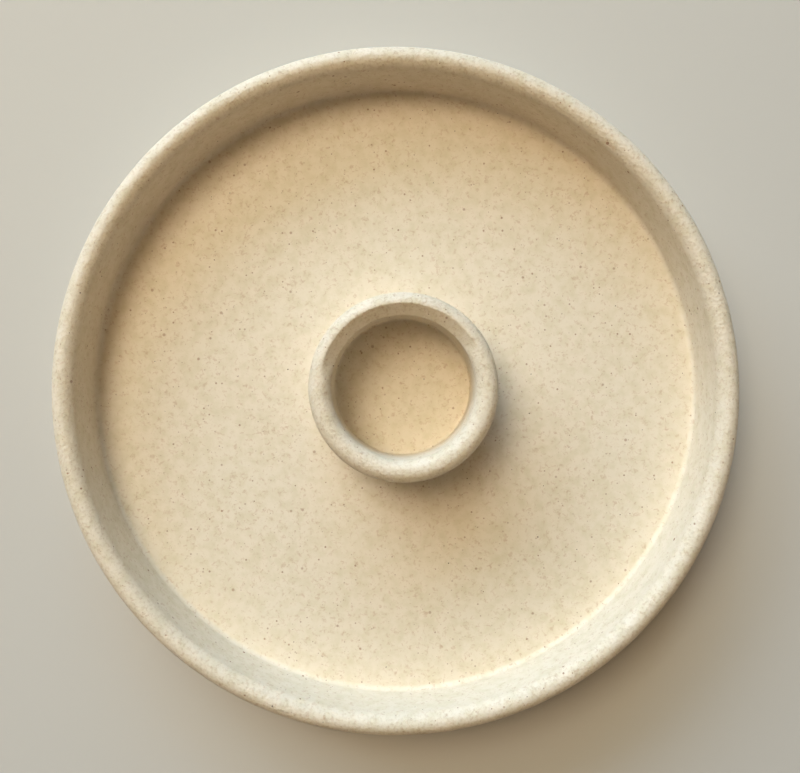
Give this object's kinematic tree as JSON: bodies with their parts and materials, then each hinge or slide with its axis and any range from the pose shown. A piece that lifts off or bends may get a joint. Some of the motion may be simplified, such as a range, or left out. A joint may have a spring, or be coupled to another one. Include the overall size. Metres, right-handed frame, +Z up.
{
  "type": "candle dish",
  "caption": "Round shallow stoneware dish with an upright round-lipped wall, a foot ring under it, and a small open candle cup standing just off the middle of its tray.",
  "frame": {"origin": "centre of the foot ring, on the surface that the dish stands on", "axes": "+Z up, along the dish's axis; +X and +Y lie in the resting plane, and the cup stands a little towards +X and +Y"},
  "size_m": [0.2, 0.2, 0.0335],
  "materials": {
    "fired_clay": "bare fired stoneware, buff, dry and slightly gritty",
    "fired_slip": "fired clay slip, smooth and dry",
    "speckled_glaze": "warm cream satin-matt glaze with fine dark iron speckle"
  },
  "bodies": {
    "root": {"dish_body": "fired_clay", "candle_cup": "fired_clay", "luting_slip": "fired_slip", "dish_glaze": "speckled_glaze", "cup_glaze": "speckled_glaze", "well_glaze": "speckled_glaze"}
  },
  "joints": []
}
